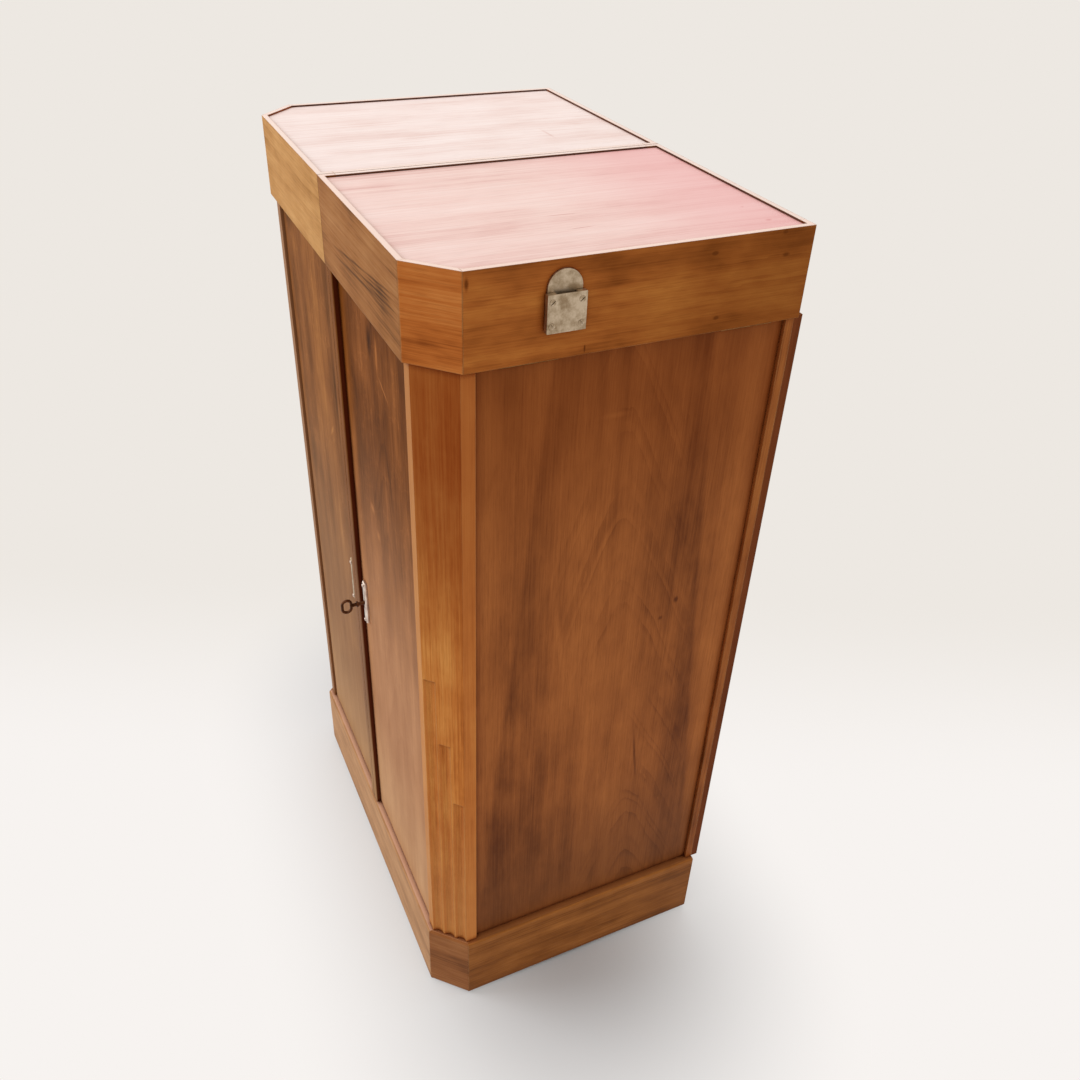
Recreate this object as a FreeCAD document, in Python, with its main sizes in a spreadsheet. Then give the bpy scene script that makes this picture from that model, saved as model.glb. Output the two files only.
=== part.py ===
"""Cellarette: a chamfered walnut drinks cabinet with two half lids over two pivoted doors.

Millimetres, +Z up, front towards -Y, origin on the floor under the middle of the plinth.
The right side is modelled and most of the left side is its mirror image.
"""
import FreeCAD, Part
import math
import operator
import os
from types import SimpleNamespace

import Sketcher

SIZES = {
    # whole cabinet
    "width": 612,
    "depth": 412,
    "height": 1100,
    "corner_chamfer": 43.5,
    "cut_overrun": 5,
    "running_clearance": 0.04,
    "seat_clearance": 0.2,
    # plinth
    "plinth_height": 122,
    "plinth_thickness": 30,
    "plinth_round": 9,
    "plinth_ledge_round": 3,
    "bearer_thickness": 20,
    # carcass
    "body_inset": 6.5,
    "post_chamfer": 36.5,
    "post_strip": 15,
    "flute_top_height": 608,
    "flute_step": 99.5,
    "flute_depth": 3.2,
    "flute_arris": 2,
    "side_recess": 5.5,
    "side_thickness": 18,
    "stile_depth": 10,
    "back_thickness": 10,
    "bottom_thickness": 18,
    "deck_thickness": 9,
    "rail_thickness": 20,
    "rail_height": 40,
    # shelf and bottle rack
    "shelf_height": 560,
    "shelf_thickness": 16,
    "shelf_setback": 4,
    "peg_radius": 3,
    "peg_reach": 10,
    "peg_inset": 60,
    "rack_height": 160,
    "divider_thickness": 8,
    # half lids
    "lid_height": 96,
    "lid_joint": 0.4,
    "lid_wall": 18,
    "lid_rim": 6.5,
    "lid_panel_thickness": 8,
    "lid_panel_recess": 2,
    "lid_seam_gap": 0.8,
    # lid hinges
    "hinge_overhang": 5,
    "hinge_length": 60,
    "hinge_inset": 52,
    "middle_knuckle": 20,
    "knuckle_radius": 2.6,
    "knuckle_clearance": 0.4,
    "hinge_pin_radius": 1.25,
    "leaf_thickness": 1.2,
    "leaf_gap": 0.2,
    "fixed_leaf_width": 18,
    "moving_leaf_width": 12,
    # doors and their pivots
    "door_recess": 3,
    "door_thickness": 20,
    "door_gap": 1,
    "door_top_gap": 1.2,
    "door_bottom_gap": 1.6,
    "door_round": 5.5,
    "meeting_gap": 1.2,
    "stop_gap": 0.3,
    "bead_width": 12.4,
    "bead_thickness": 7,
    "bead_round": 1.5,
    "pivot_setback": 6,
    "pivot_radius": 2.5,
    "pivot_reach": 6,
    "pivot_plate_length": 46,
    "pivot_plate_width": 9,
    "pivot_plate_thickness": 2,
    "pivot_plate_end": 3,
    "pivot_boss_radius": 4.2,
    "pivot_hole_clearance": 0.3,
    # key plates, lock and key
    "key_height": 543.5,
    "key_offset": 28,
    "plate_width": 9,
    "plate_height": 68,
    "plate_thickness": 4.4,
    "plate_round": 2.6,
    "keyhole_clearance": 0.5,
    "keyhole_slot": 3.4,
    "shank_radius": 2.4,
    "bow_reach": 24.2,
    "bow_width": 15.5,
    "bow_height": 22.8,
    "bow_thickness": 3.2,
    "bow_rim": 3.4,
    "bow_bevel": 0.7,
    "collar_radius": 3.8,
    "collar_thickness": 2.5,
    "collar_stand": 8.4,
    "bit_reach": 9,
    "bit_thickness": 2.4,
    "bit_length": 4,
    "case_setback": 3.4,
    "case_width": 56,
    "case_depth": 16,
    "case_above": 20,
    "case_below": 16,
    "case_wall": 1.6,
    "bolt_lift": 4.5,
    "bolt_height": 9,
    "bolt_thickness": 5,
    "bolt_length": 44,
    "bolt_tip_setback": 0.6,
    "bolt_throw": 10,
    "bolt_clearance": 0.3,
    "talon_lead": 5,
    "talon_width": 20,
    "talon_depth": 6,
    "keeper_setback": 1,
    "keeper_width": 14,
    "keeper_wall": 4,
    # flush bolt of the left door
    "flush_radius": 3,
    "flush_clearance": 0.1,
    "flush_length": 60,
    "flush_throw": 7,
    "flush_case_length": 80,
    "flush_case_width": 9,
    "flush_case_depth": 11,
    "flush_knob_radius": 2,
    # socket fitting on the right lid
    "socket_setback": 140.5,
    "socket_lift": 30,
    "socket_width": 39.5,
    "socket_height": 37,
    "socket_box_depth": 6,
    "socket_plate_thickness": 2.5,
    "socket_arch_radius": 17.5,
    "socket_arch_height": 57.5,
    "socket_slot_width": 20.5,
    "socket_slot_gap": 4.6,
    "socket_slot_depth": 30,
}

FLUTES = 3
RACK_COLUMNS = 5
RACK_ROWS = 3
DIAGONAL = math.sqrt(0.5)
MITRE_SHARE = math.sqrt(2) - 1
TOUCHING = 1e-4

doc = FreeCAD.newDocument("cellarette")
sheet = doc.addObject("Spreadsheet::Sheet", "sizes")
for row, (name, number) in enumerate(SIZES.items(), start=1):
    sheet.set("A%d" % row, name)
    sheet.set("B%d" % row, str(number))
    sheet.setAlias("B%d" % row, name)
doc.recompute()


class Size:
    """A length together with the spreadsheet formula that gives it."""

    def __init__(self, value, formula):
        self.value = float(value)
        self.formula = formula

    def __add__(self, other):
        return combine(self, "+", other)

    def __sub__(self, other):
        return combine(self, "-", other)

    def __mul__(self, other):
        return combine(self, "*", other)

    def __truediv__(self, other):
        return combine(self, "/", other)

    def __neg__(self):
        return combine(0, "-", self)


SIGNS = {"+": operator.add, "-": operator.sub, "*": operator.mul, "/": operator.truediv}


def combine(first, sign, second):
    """The size that two sizes, or a size and a plain factor, give together."""
    pair = [x if isinstance(x, Size) else Size(x, repr(x)) for x in (first, second)]
    value = SIGNS[sign](pair[0].value, pair[1].value)
    return Size(value, "(%s %s %s)" % (pair[0].formula, sign, pair[1].formula))


s = SimpleNamespace(**{name: Size(number, "sizes." + name) for name, number in SIZES.items()})
ZERO = Size(0, "0")

# Planes and lines that several pieces share
half_width = s.width / 2
half_depth = s.depth / 2
chamfer_start = half_width - s.corner_chamfer
chamfer_end = s.corner_chamfer - half_depth
lid_bottom = s.height - s.lid_height
body_top = lid_bottom - s.lid_joint
post_side = half_width - s.body_inset
post_front = s.body_inset - half_depth
door_front = post_front + s.door_recess
post_inner = post_side - s.post_chamfer - s.post_strip
post_back = post_front + s.post_chamfer + s.post_strip
side_outer = post_side - s.side_recess
side_inner = side_outer - s.side_thickness
post_cove = post_back - (side_inner - post_inner)
stile_front = half_depth - s.stile_depth
back_front = half_depth
door_back = door_front + s.door_thickness
stop_front = door_back + s.stop_gap
deck_bottom = body_top - s.deck_thickness
bottom_top = s.plinth_height + s.bottom_thickness
shelf_front = post_back + s.shelf_setback
door_edge = post_inner - s.door_gap
meeting_edge = s.meeting_gap / 2
door_top = deck_bottom - s.door_top_gap
door_bottom = s.plinth_height + s.door_bottom_gap
pivot_x = door_edge - s.pivot_setback
pivot_y = door_front + s.pivot_setback
hinge_x = half_width - s.hinge_overhang
hinge_z = lid_bottom - s.lid_joint / 2

NODES = {}


def node(thing, label):
    """Makes an object one of the cabinet's pieces, under the given name."""
    thing.Label = label
    NODES[label] = thing
    return thing


def place(thing, x, y, z, rotation=None):
    thing.Placement = FreeCAD.Placement(FreeCAD.Vector(), rotation or FreeCAD.Rotation())
    for axis, size in (("x", x), ("y", y), ("z", z)):
        thing.setExpression("Placement.Base." + axis, size.formula)
    return thing


def block(x, y, z):
    """A rectangular block between two planes on each axis."""
    thing = doc.addObject("Part::Box", "block")
    for side, (low, high) in (("Length", x), ("Width", y), ("Height", z)):
        thing.setExpression(side, (high - low).formula)
    return place(thing, x[0], y[0], z[0])


TURNS = {
    "x": FreeCAD.Rotation(FreeCAD.Vector(0, 1, 0), 90),
    "y": FreeCAD.Rotation(FreeCAD.Vector(1, 0, 0), -90),
    "z": FreeCAD.Rotation(),
}


def rod(radius, axis, start, length):
    """A cylinder that runs from a start point along +x, +y or +z."""
    thing = doc.addObject("Part::Cylinder", "rod")
    thing.setExpression("Radius", radius.formula)
    thing.setExpression("Height", length.formula)
    return place(thing, *start, TURNS[axis])


def fuse(*things):
    joined = doc.addObject("Part::MultiFuse", "joined")
    joined.Shapes = list(things)
    return joined


def cut(base, *tools):
    trimmed = doc.addObject("Part::Cut", "trimmed")
    trimmed.Base = base
    trimmed.Tool = fuse(*tools) if len(tools) > 1 else tools[0]
    return trimmed


def group(*things):
    """Separate solids kept together as one set, such as a pair of hinge leaves."""
    together = doc.addObject("Part::Compound", "together")
    together.Links = list(things)
    return together


def mirrored(source):
    """The left-hand copy of a right-hand piece."""
    twin = doc.addObject("Part::Mirroring", "twin")
    twin.Source = source
    twin.Normal = FreeCAD.Vector(1, 0, 0)
    return twin


def pair(source, name):
    """A right-hand piece and its left-hand twin as two pieces."""
    node(source, name + "_right")
    node(mirrored(source), name + "_left")


def outline_sketch(body, outline, level):
    """A closed outline of straight lines at a level, with each corner held by its sizes."""
    sketch = body.newObject("Sketcher::SketchObject", "outline")
    floor = next(f for f in body.Origin.OriginFeatures if f.Role == "XY_Plane")
    sketch.AttachmentSupport = (floor, [""])
    sketch.MapMode = "FlatFace"
    sketch.setExpression("AttachmentOffset.Base.z", level.formula)
    corners = [FreeCAD.Vector(x.value, y.value, 0) for x, y in outline]
    following = corners[1:] + corners[:1]
    for start, end in zip(corners, following):
        sketch.addGeometry(Part.LineSegment(start, end))
    for line in range(len(corners)):
        sketch.addConstraint(Sketcher.Constraint("Coincident", line, 2, (line + 1) % len(corners), 1))
    for line, (x, y) in enumerate(outline):
        for kind, size in (("DistanceX", x), ("DistanceY", y)):
            held = sketch.addConstraint(Sketcher.Constraint(kind, -1, 1, line, 1, size.value))
            sketch.setExpression("Constraints[%d]" % held, size.formula)
    return sketch


def prism(outline, low, high):
    """A body with the given plan outline between two levels."""
    body = doc.addObject("PartDesign::Body", "body")
    pad = body.newObject("PartDesign::Pad", "pad")
    pad.Profile = outline_sketch(body, outline, low)
    pad.setExpression("Length", (high - low).formula)
    doc.recompute()
    return body


def sink(body, outline, floor, top):
    """Cuts a recess with the given plan outline from the top of a body down to a floor."""
    before = body.Shape.Volume
    pocket = body.newObject("PartDesign::Pocket", "pocket")
    pocket.Profile = outline_sketch(body, outline, top + s.cut_overrun)
    pocket.setExpression("Length", (top + s.cut_overrun - floor).formula)
    doc.recompute()
    assert body.Shape.Volume < before, "the recess cuts nothing"
    return body


def round_edges(body, radius, *ends):
    """Rounds the edges of a body that run between the given pairs of points."""
    wanted = [[FreeCAD.Vector(*(size.value for size in point)) for point in points] for points in ends]
    names = []
    for number, edge in enumerate(body.Shape.Edges, start=1):
        tips = [vertex.Point for vertex in edge.Vertexes]
        for points in wanted:
            if all(any(tip.isEqual(point, TOUCHING) for tip in tips) for point in points):
                names.append("Edge%d" % number)
    assert len(names) == len(wanted), "an edge to round is missing"
    sharp = body.Tip
    fillet = body.newObject("PartDesign::Fillet", "fillet")
    fillet.Base = (sharp, names)
    fillet.setExpression("Radius", radius.formula)
    doc.recompute()
    return body


def around(centre, reach):
    """The two planes at equal reach on both sides of a centre."""
    return (centre - reach, centre + reach)


def make_plinth():
    wall = s.plinth_thickness
    top = s.plinth_height
    front = -half_depth
    inner_side = half_width - wall
    inner_front = front + wall
    rail = prism(
        [(-chamfer_start, front), (chamfer_start, front), (chamfer_start, inner_front), (-chamfer_start, inner_front)],
        ZERO,
        top,
    )
    round_edges(rail, s.plinth_round, [(-chamfer_start, front, ZERO), (chamfer_start, front, ZERO)])
    round_edges(rail, s.plinth_ledge_round, [(-chamfer_start, front, top), (chamfer_start, front, top)])
    sockets = [tool for side in (1, -1) for tool in pivot_bottom_cuts(pivot_x * side, side)]
    node(cut(rail, *sockets), "plinth_front")
    corner = prism(
        [(chamfer_start, front), (half_width, chamfer_end), (inner_side, chamfer_end), (chamfer_start, inner_front)],
        ZERO,
        top,
    )
    round_edges(corner, s.plinth_round, [(chamfer_start, front, ZERO), (half_width, chamfer_end, ZERO)])
    round_edges(corner, s.plinth_ledge_round, [(chamfer_start, front, top), (half_width, chamfer_end, top)])
    pair(corner, "plinth_corner")
    side = prism(
        [(inner_side, chamfer_end), (half_width, chamfer_end), (half_width, half_depth), (inner_side, half_depth)],
        ZERO,
        top,
    )
    outer_foot = [(half_width, chamfer_end, ZERO), (half_width, half_depth, ZERO)]
    round_edges(side, s.plinth_round, outer_foot, [(half_width, half_depth, ZERO), (inner_side, half_depth, ZERO)])
    round_edges(side, s.plinth_ledge_round, [(half_width, chamfer_end, top), (half_width, half_depth, top)])
    pair(side, "plinth_side")
    inner_back = half_depth - wall
    back = prism(
        [(-inner_side, inner_back), (inner_side, inner_back), (inner_side, half_depth), (-inner_side, half_depth)],
        ZERO,
        top,
    )
    round_edges(back, s.plinth_round, [(-inner_side, half_depth, ZERO), (inner_side, half_depth, ZERO)])
    node(back, "plinth_back")
    node(block(around(ZERO, s.bearer_thickness / 2), (inner_front, inner_back), (ZERO, top)), "plinth_bearer")


def make_corner_posts():
    """Chamfered posts with three stop flutes, whose square tops step down from front to side."""
    turn = post_front + s.post_chamfer
    start = post_side - s.post_chamfer
    post = prism(
        [
            (post_inner, post_front),
            (start, post_front),
            (post_side, turn),
            (post_side, post_back),
            (side_inner, post_back),
            (post_inner, post_cove),
        ],
        s.plinth_height,
        body_top,
    )
    width = s.post_chamfer / DIAGONAL / FLUTES - s.flute_arris
    depth = s.flute_depth
    radius = (width * width / 4 + depth * depth) / (depth * 2)
    proud = (radius - depth) * DIAGONAL
    foot = s.plinth_height - s.cut_overrun
    cutters = []
    for flute in range(FLUTES):
        along = s.post_chamfer * ((flute + 0.5) / FLUTES)
        x = start + along + proud
        y = post_front + along - proud
        stop = s.flute_top_height - s.flute_step * flute
        cutters.append(rod(radius, "z", (x, y, foot), stop - foot))
    pair(cut(post, *cutters), "corner_post")


def hinge_centres():
    """The middles of the two lid hinges along the side panel."""
    return (post_back + s.hinge_inset, stile_front - s.hinge_inset)


def peg_centres():
    return (shelf_front + s.peg_inset, back_front - s.peg_inset)


def make_sides():
    leaf_bottom = hinge_z - s.leaf_gap / 2 - s.leaf_thickness
    peg_z = s.shelf_height - s.peg_radius
    panel = block((side_inner, side_outer), (post_back, stile_front), (s.plinth_height, body_top))
    tools = []
    for y in hinge_centres():
        span = around(y, s.hinge_length / 2 + s.seat_clearance)
        inner = hinge_x - s.fixed_leaf_width - s.seat_clearance
        tools.append(block((inner, side_outer + s.cut_overrun), span, (leaf_bottom, body_top + s.cut_overrun)))
    for y in peg_centres():
        start = (side_inner - s.cut_overrun, y, peg_z)
        tools.append(rod(s.peg_radius + s.running_clearance, "x", start, s.cut_overrun + s.peg_reach))
    pair(cut(panel, *tools), "side_panel")
    pair(block((side_inner, post_side), (stile_front, back_front), (s.plinth_height, body_top)), "rear_stile")
    back = (back_front, back_front + s.back_thickness)
    node(block((-post_side, post_side), back, (s.plinth_height, body_top)), "back_panel")


def floor_outline(front):
    """Plan of a board that fits between the posts and sides, from a front line to the back panel."""
    right = [(post_inner, front), (post_inner, post_cove), (side_inner, post_back), (side_inner, back_front)]
    return right + [(-x, y) for x, y in reversed(right)]


def make_boards():
    node(prism(floor_outline(stop_front), s.plinth_height, bottom_top), "bottom_board")
    deck = prism(floor_outline(door_front + s.seat_clearance), deck_bottom, body_top)
    tools = [tool for side in (1, -1) for tool in pivot_top_cuts(pivot_x * side, side)]
    flush_hole = (flush_x(), flush_y(), deck_bottom - s.cut_overrun)
    rise = s.cut_overrun + s.flush_throw - s.seat_clearance
    tools.append(rod(s.flush_radius + s.pivot_hole_clearance, "z", flush_hole, rise))
    node(cut(deck, *tools), "deck_board")
    rail_y = (stop_front, stop_front + s.rail_thickness)
    rail = block((-post_inner, post_inner), rail_y, (deck_bottom - s.rail_height, deck_bottom))
    node(rail, "top_rail")


def make_shelf_and_rack():
    fit = s.seat_clearance
    inside = (fit - side_inner, side_inner - fit)
    run = (shelf_front, back_front - fit)
    node(block(inside, run, (s.shelf_height, s.shelf_height + s.shelf_thickness)), "shelf")
    pegs = []
    peg_z = s.shelf_height - s.peg_radius
    for side in (1, -1):
        for y in peg_centres():
            middle = side_inner * side
            pegs.append(rod(s.peg_radius, "x", (middle - s.peg_reach, y, peg_z), s.peg_reach * 2))
    node(group(*pegs), "shelf_pegs")
    half = s.divider_thickness / 2
    slot = half + fit / 2
    middle = bottom_top + s.rack_height / 2
    top = bottom_top + s.rack_height
    columns = [side_inner * (2 * i / RACK_COLUMNS - 1) for i in range(1, RACK_COLUMNS)]
    rows = [shelf_front + (back_front - shelf_front) * (i / RACK_ROWS) for i in range(1, RACK_ROWS)]
    low_slots = [block(around(x, slot), run, (bottom_top - s.cut_overrun, middle)) for x in columns]
    high_slots = [block(inside, around(y, slot), (middle, top + s.cut_overrun)) for y in rows]
    long_boards = [cut(block(inside, around(y, half), (bottom_top, top)), *low_slots) for y in rows]
    cross_boards = [cut(block(around(x, half), run, (bottom_top, top)), *high_slots) for x in columns]
    node(group(*long_boards), "bottle_dividers_long")
    node(group(*cross_boards), "bottle_dividers_cross")


def lid_panel_outline(rim):
    """Plan of the sunk top of the right lid, at a rim's width inside the lid's outer faces."""
    left = s.lid_seam_gap / 2 + rim
    right = half_width - rim
    front = rim - half_depth
    back = half_depth - rim
    mitre = rim * MITRE_SHARE
    return [
        (left, front),
        (chamfer_start - mitre, front),
        (right, chamfer_end + mitre),
        (right, back),
        (left, back),
    ]


def make_lids():
    """Each lid is a deep open box of boards, with a thin panel sunk into a rebate at the top."""
    wall = s.lid_wall
    top = s.height
    left = s.lid_seam_gap / 2
    front = -half_depth
    inner_side = half_width - wall
    inner_front = front + wall
    inner_back = half_depth - wall
    outlines = {
        "lid_front": [(left, front), (chamfer_start, front), (chamfer_start, inner_front), (left, inner_front)],
        "lid_corner": [
            (chamfer_start, front),
            (half_width, chamfer_end),
            (inner_side, chamfer_end),
            (chamfer_start, inner_front),
        ],
        "lid_side": [
            (inner_side, chamfer_end),
            (half_width, chamfer_end),
            (half_width, half_depth),
            (inner_side, half_depth),
        ],
        "lid_back": [(left, inner_back), (inner_side, inner_back), (inner_side, half_depth), (left, half_depth)],
        "lid_seam": [
            (left, inner_front),
            (left + wall, inner_front),
            (left + wall, inner_back),
            (left, inner_back),
        ],
    }
    rebate = top - s.lid_panel_recess - s.lid_panel_thickness
    for name, outline in outlines.items():
        board = sink(prism(outline, lid_bottom, top), lid_panel_outline(s.lid_rim), rebate, top)
        pair(cut(board, *lid_hinge_cuts()) if name == "lid_side" else board, name)
    panel = prism(lid_panel_outline(s.lid_rim + s.seat_clearance), rebate, top - s.lid_panel_recess)
    pair(panel, "lid_top")


def lid_hinge_cuts():
    """Recesses under the lid's side board for the moving leaves and the knuckles."""
    tools = []
    leaf_top = hinge_z + s.leaf_gap / 2 + s.leaf_thickness
    reach = s.hinge_length / 2 + s.knuckle_clearance
    for y in hinge_centres():
        inner = hinge_x - s.moving_leaf_width - s.seat_clearance
        tools.append(block((inner, hinge_x), around(y, reach), (lid_bottom - s.cut_overrun, leaf_top)))
        start = (hinge_x, y - reach, hinge_z)
        tools.append(rod(s.knuckle_radius + s.knuckle_clearance, "y", start, reach * 2))
    return tools


def hinge_half(y, width, leaf_low, knuckles):
    """One hinge leaf with its knuckles, before the pin is added or bored for."""
    leaf_z = (leaf_low, leaf_low + s.leaf_thickness)
    edge = hinge_x - s.knuckle_radius - s.knuckle_clearance
    pieces = [block((hinge_x - width, edge), around(y, s.hinge_length / 2), leaf_z)]
    for low, high in knuckles:
        pieces.append(block((edge - s.seat_clearance, hinge_x), (low, high), leaf_z))
        pieces.append(rod(s.knuckle_radius, "y", (hinge_x, low, hinge_z), high - low))
    return pieces


def make_lid_hinges():
    """Butt hinges under the lids: the pin is riveted in the fixed knuckles and turns in the moving one."""
    fixed = []
    moving = []
    low_leaf = hinge_z - s.leaf_gap / 2 - s.leaf_thickness
    high_leaf = hinge_z + s.leaf_gap / 2
    for y in hinge_centres():
        ends = around(y, s.hinge_length / 2)
        gap = around(y, s.middle_knuckle / 2)
        middle = around(y, s.middle_knuckle / 2 - s.seat_clearance)
        start = (hinge_x, ends[0], hinge_z)
        pin = rod(s.hinge_pin_radius, "y", start, s.hinge_length)
        bore = rod(s.hinge_pin_radius + s.running_clearance, "y", start, s.hinge_length)
        outer_knuckles = [(ends[0], gap[0]), (gap[1], ends[1])]
        fixed.append(fuse(*hinge_half(y, s.fixed_leaf_width, low_leaf, outer_knuckles), pin))
        moving.append(cut(fuse(*hinge_half(y, s.moving_leaf_width, high_leaf, [middle])), bore))
    pair(group(*moving), "lid_hinge_leaves")
    pair(group(*fixed), "lid_hinge_fixed")


def plate_span(centre, side):
    """The ends of a pivot plate along the door, on the right or the left door."""
    near = centre + s.pivot_plate_end * side
    far = centre + (s.pivot_plate_end - s.pivot_plate_length) * side
    return (far, near) if side > 0 else (near, far)


def grown(span, by):
    return (span[0] - by, span[1] + by)


def pivot_top_cuts(x, side):
    """Recess and blind hole under the deck board for a door's top pivot."""
    across = around(pivot_y, s.pivot_plate_width / 2 + s.seat_clearance)
    plate_top = deck_bottom + s.pivot_plate_thickness
    recess = block(grown(plate_span(x, side), s.seat_clearance), across, (deck_bottom - s.cut_overrun, plate_top))
    end = door_top + s.door_top_gap + s.pivot_reach + s.pivot_hole_clearance
    hole = rod(s.pivot_radius + s.pivot_hole_clearance, "z", (x, pivot_y, deck_bottom), end - deck_bottom)
    return [recess, hole]


def pivot_bottom_cuts(x, side):
    """Recess and blind hole in the plinth for a door's bottom pivot."""
    across = around(pivot_y, s.pivot_plate_width / 2 + s.seat_clearance)
    plate_bottom = s.plinth_height - s.pivot_plate_thickness
    over = s.plinth_height + s.cut_overrun
    recess = block(grown(plate_span(x, side), s.seat_clearance), across, (plate_bottom, over))
    end = s.plinth_height - s.pivot_reach - s.pivot_hole_clearance
    hole = rod(s.pivot_radius + s.pivot_hole_clearance, "z", (x, pivot_y, end), over - end)
    return [recess, hole]


def make_pivots():
    """Door pivots: a plate with a pin on each door edge, and a bored plate in the carcass."""
    plate_x = plate_span(pivot_x, 1)
    plate_y = around(pivot_y, s.pivot_plate_width / 2)
    thick = s.pivot_plate_thickness
    bore_radius = s.pivot_radius + s.running_clearance
    top_plate = block(plate_x, plate_y, (deck_bottom, deck_bottom + thick))
    bore_length = thick + s.cut_overrun * 2
    top_bore = rod(bore_radius, "z", (pivot_x, pivot_y, deck_bottom - s.cut_overrun), bore_length)
    low_plate = block(plate_x, plate_y, (s.plinth_height - thick, s.plinth_height))
    boss_height = s.door_bottom_gap - s.flush_clearance
    boss = rod(s.pivot_boss_radius, "z", (pivot_x, pivot_y, s.plinth_height), boss_height)
    low_bore = rod(bore_radius, "z", (pivot_x, pivot_y, s.plinth_height - s.cut_overrun), s.cut_overrun * 2)
    pair(group(cut(top_plate, top_bore), cut(fuse(low_plate, boss), low_bore)), "pivot_sockets")
    top_arm = block(plate_x, plate_y, (door_top - thick, door_top))
    top_pin = rod(
        s.pivot_radius, "z", (pivot_x, pivot_y, door_top - thick), thick + s.door_top_gap + s.pivot_reach
    )
    low_arm = block(plate_x, plate_y, (door_bottom, door_bottom + thick))
    low_end = s.plinth_height - s.pivot_reach
    low_pin = rod(s.pivot_radius, "z", (pivot_x, pivot_y, low_end), door_bottom + thick - low_end)
    pair(group(fuse(top_arm, top_pin), fuse(low_arm, low_pin)), "pivot_pins")


def door_blank():
    """The right door, rounded along its hinge edge so that it turns clear of the post."""
    door = prism(
        [(meeting_edge, door_front), (door_edge, door_front), (door_edge, door_back), (meeting_edge, door_back)],
        door_bottom,
        door_top,
    )
    front_edge = [(door_edge, door_front, door_bottom), (door_edge, door_front, door_top)]
    back_edge = [(door_edge, door_back, door_bottom), (door_edge, door_back, door_top)]
    round_edges(door, s.door_round, front_edge, back_edge)
    across = around(pivot_y, s.pivot_plate_width / 2 + s.seat_clearance)
    span = grown(plate_span(pivot_x, 1), s.seat_clearance)
    thick = s.pivot_plate_thickness
    top_recess = block(span, across, (door_top - thick, door_top + s.cut_overrun))
    low_recess = block(span, across, (door_bottom - s.cut_overrun, door_bottom + thick))
    return cut(door, top_recess, low_recess)


def keyhole(front, back):
    """The key's way in: a round hole with a slot below it."""
    radius = s.shank_radius + s.keyhole_clearance
    start = (s.key_offset, front, s.key_height)
    low = s.key_height - s.bit_reach - s.keyhole_clearance
    slot = block(around(s.key_offset, s.keyhole_slot / 2), (front, back), (low, s.key_height))
    return fuse(rod(radius, "y", start, back - front), slot)


def flush_x():
    return -(meeting_edge + s.flush_case_width / 2)


def flush_y():
    return door_front + s.door_thickness / 2


def make_doors():
    blank = door_blank()
    hole = keyhole(door_front - s.cut_overrun, door_back + s.cut_overrun)
    node(cut(blank, hole), "door_right")
    case_x = (-meeting_edge - s.flush_case_width, s.cut_overrun - meeting_edge)
    case_y = around(flush_y(), s.flush_case_depth / 2)
    mortise = block(case_x, case_y, (door_top - s.flush_case_length, door_top + s.cut_overrun))
    node(cut(mirrored(blank), mortise), "door_left")
    bead_front = door_front - s.bead_thickness
    bead_end = meeting_edge + s.bead_width
    bead_top = body_top - s.door_top_gap
    bead = prism(
        [(meeting_edge, bead_front), (bead_end, bead_front), (bead_end, door_front), (meeting_edge, door_front)],
        door_bottom,
        bead_top,
    )
    round_edges(bead, s.bead_round, [(bead_end, bead_front, door_bottom), (bead_end, bead_front, bead_top)])
    pair(bead, "meeting_bead")


def make_key_plates():
    """Slim raised key plates with softly rounded fronts, pierced on the right and blind on the left."""
    plate_front = door_front - s.plate_thickness
    left, right = around(s.key_offset, s.plate_width / 2)
    low, high = around(s.key_height, s.plate_height / 2)
    plate = prism(
        [(left, plate_front), (right, plate_front), (right, door_front), (left, door_front)],
        low,
        high,
    )
    corners = [(left, plate_front, low), (right, plate_front, low), (right, plate_front, high), (left, plate_front, high)]
    round_edges(plate, s.plate_round, *[[start, end] for start, end in zip(corners, corners[1:] + corners[:1])])
    node(mirrored(plate), "key_plate_left")
    node(cut(plate, keyhole(plate_front - s.cut_overrun, door_front + s.cut_overrun)), "key_plate_right")


def bolt_z():
    low = s.key_height + s.bolt_lift
    return (low, low + s.bolt_height)


def bolt_y():
    return around(door_back + s.case_depth / 2, s.bolt_thickness / 2)


def make_lock():
    """Rim lock behind the right door: a case, a bolt with a talon, and a keeper on the left door."""
    left = meeting_edge + s.case_setback
    back = door_back + s.case_depth
    low = s.key_height - s.case_below
    high = s.key_height + s.case_above
    wall = s.case_wall
    shell = block((left, left + s.case_width), (door_back, back), (low, high))
    hollow = block(
        (left + wall, left + s.case_width - wall),
        (door_back - s.cut_overrun, back - wall),
        (low + wall, high - wall),
    )
    bolt_way = block(
        (left - s.cut_overrun, left + wall + s.cut_overrun),
        grown(bolt_y(), s.bolt_clearance),
        grown(bolt_z(), s.bolt_clearance),
    )
    node(cut(shell, hollow, bolt_way), "lock_case")
    tip = left + s.bolt_tip_setback
    bar = block((tip, tip + s.bolt_length), bolt_y(), bolt_z())
    talon_start = s.key_offset - s.talon_lead
    talon_z = (bolt_z()[0] - s.cut_overrun, bolt_z()[0] + s.talon_depth)
    talon = block((talon_start, talon_start + s.talon_width), grown(bolt_y(), s.cut_overrun), talon_z)
    node(cut(bar, talon), "lock_bolt")
    near = -meeting_edge - s.keeper_setback
    block_z = grown(bolt_z(), s.keeper_wall)
    keeper_y = (door_back, bolt_y()[1] + s.keeper_wall)
    keeper = block((near - s.keeper_width, near), keeper_y, block_z)
    pocket_end = tip - s.bolt_throw - s.bolt_clearance
    pocket = block(
        (pocket_end, near + s.cut_overrun), grown(bolt_y(), s.bolt_clearance), grown(bolt_z(), s.bolt_clearance)
    )
    node(cut(keeper, pocket), "lock_keeper")


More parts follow.
